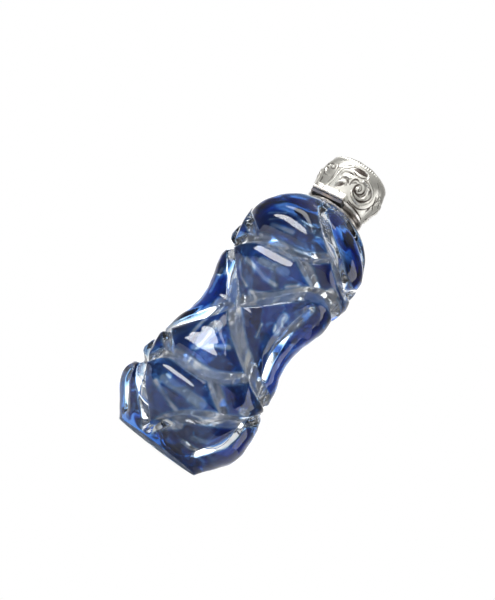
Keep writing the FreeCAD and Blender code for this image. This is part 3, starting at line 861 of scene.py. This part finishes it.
def studio_world():
    """A dim room, paler overhead and before and behind the bottle. The camera itself sees plain white."""
    world = bpy.data.worlds.new("studio")
    bpy.context.scene.world = world
    world.use_nodes = True
    tree = world.node_tree

    def add(kind, operation=None, *inputs):
        made = tree.nodes.new(kind)
        if operation:
            made.operation = operation
        for socket, value in zip(made.inputs, inputs):
            if isinstance(value, bpy.types.NodeSocket):
                tree.links.new(value, socket)
            else:
                socket.default_value = value
        return made

    way = add("ShaderNodeTexCoord").outputs["Generated"]
    towards = (math.sin(FACING), -math.cos(FACING), 0.0)
    facing = add("ShaderNodeVectorMath", "DOT_PRODUCT", way, towards).outputs["Value"]
    both = add("ShaderNodeMath", "ABSOLUTE", facing).outputs[0]
    height = add("ShaderNodeSeparateXYZ", None, way).outputs["Z"]
    sides = add("ShaderNodeValToRGB", None, both)
    overhead = add("ShaderNodeValToRGB", None, height)
    for ramp, stops in ((sides, ALONG_VIEW), (overhead, UPWARD)):
        levels = ramp.color_ramp
        levels.interpolation = "EASE"
        for index, (position, level) in enumerate(stops):
            stop = levels.elements[index] if index < 2 else levels.elements.new(position)
            stop.position = position
            stop.color = (level, level * 0.99, level * 0.97, 1)
    total = add("ShaderNodeMix")
    total.data_type, total.blend_type = "RGBA", "SCREEN"
    total.inputs[0].default_value = 1.0
    tree.links.new(sides.outputs["Color"], total.inputs[6])
    tree.links.new(overhead.outputs["Color"], total.inputs[7])
    room = tree.nodes["Background"]
    tree.links.new(total.outputs[2], room.inputs["Color"])
    white = tree.nodes.new("ShaderNodeBackground")
    white.inputs["Color"].default_value = (1, 1, 1, 1)
    mix = tree.nodes.new("ShaderNodeMixShader")
    tree.links.new(tree.nodes.new("ShaderNodeLightPath").outputs["Is Camera Ray"], mix.inputs[0])
    tree.links.new(room.outputs[0], mix.inputs[1])
    tree.links.new(white.outputs[0], mix.inputs[2])
    tree.links.new(mix.outputs[0], tree.nodes["World Output"].inputs["Surface"])


def studio_camera():
    """A camera below the bottle that looks up at it, rolled so that the bottle leans to the right."""
    ahead = Vector((
        -math.sin(FACING) * math.cos(TILT),
        math.cos(FACING) * math.cos(TILT),
        math.sin(TILT),
    ))
    level = ahead.cross(Vector((0, 0, 1))).normalized()
    upright = level.cross(ahead)
    right = level * math.cos(ROLL) + upright * math.sin(ROLL)
    up = upright * math.cos(ROLL) - level * math.sin(ROLL)
    aim = ahead - right * (MOVED_LEFT / FOCAL_LENGTH) + up * (MOVED_UP / FOCAL_LENGTH)
    aim = aim.normalized()
    right = (right - aim * right.dot(aim)).normalized()
    up = right.cross(aim)
    camera = bpy.data.objects.new("camera", bpy.data.cameras.new("camera"))
    bpy.context.scene.collection.objects.link(camera)
    camera.data.sensor_width = SENSOR_WIDTH
    camera.data.lens = FOCAL_LENGTH / PHOTO_HEIGHT * SENSOR_WIDTH
    camera.data.clip_start = 0.01
    turn = Matrix((right, up, -aim)).transposed().to_4x4()
    place = Vector((CAMERA_DISTANCE * math.sin(FACING), -CAMERA_DISTANCE * math.cos(FACING), CAMERA_HEIGHT))
    camera.matrix_world = Matrix.Translation(place) @ turn
    bpy.context.scene.camera = camera


# ---- the object ----------------------------------------------------------------------------------

embossed = embossed_material()
glass = ["glass_body", "blue_casing"]
cut_glass = piece("cut_glass", build_glass(), glass_material(), "bottle", glass, 30.0)
cut_glass.data.materials.append(film_material())
piece("lid_hinge_cover", build_hinge_plate(), embossed, "lid", ["lid_hinge_plate"], 50.0)
piece("embossed_lid", build_lid(), embossed, "lid", ["lid_shell"], 50.0)

dress(stopper_material(), "glass_stopper")
dress(plaster_material(), "neck_cement")
# The collar's bezel and band are painted dark: painted shade for the shade and dark reflections they show
# under the lid, with tarnish in patches.
dress(silver_material("tarnished_and_shaded_silver", (0.16, 0.145, 0.135), 0.7, 0.18, 1.0), "collar_bezel", "collar_band")
# The collar's hinge plate is painted near black: a painted shadow for the shade it lies in under the hinge,
# with tarnish in patches.
dress(silver_material("shadow_painted_silver", (0.03, 0.03, 0.035), 0.5, 0.24, 1.0), "collar_hinge_plate")
dress(
    silver_material("worn_silver", (0.6, 0.57, 0.53), 0.6, 0.2, 0.9),
    "collar_foot_bead", "collar_knuckle_left", "collar_knuckle_right", "lid_knuckle", "hinge_pin",
)
dress(silver_material("bright_silver", (0.85, 0.83, 0.8), 0.3, 0.22, 0.8), "lid_rim_wire", "lid_thumb_lip")

studio_floor()
studio_world()
for name, lamp in LAMPS.items():
    studio_light(name, *lamp)
studio_camera()
bpy.context.scene.view_settings.view_transform = "Standard"
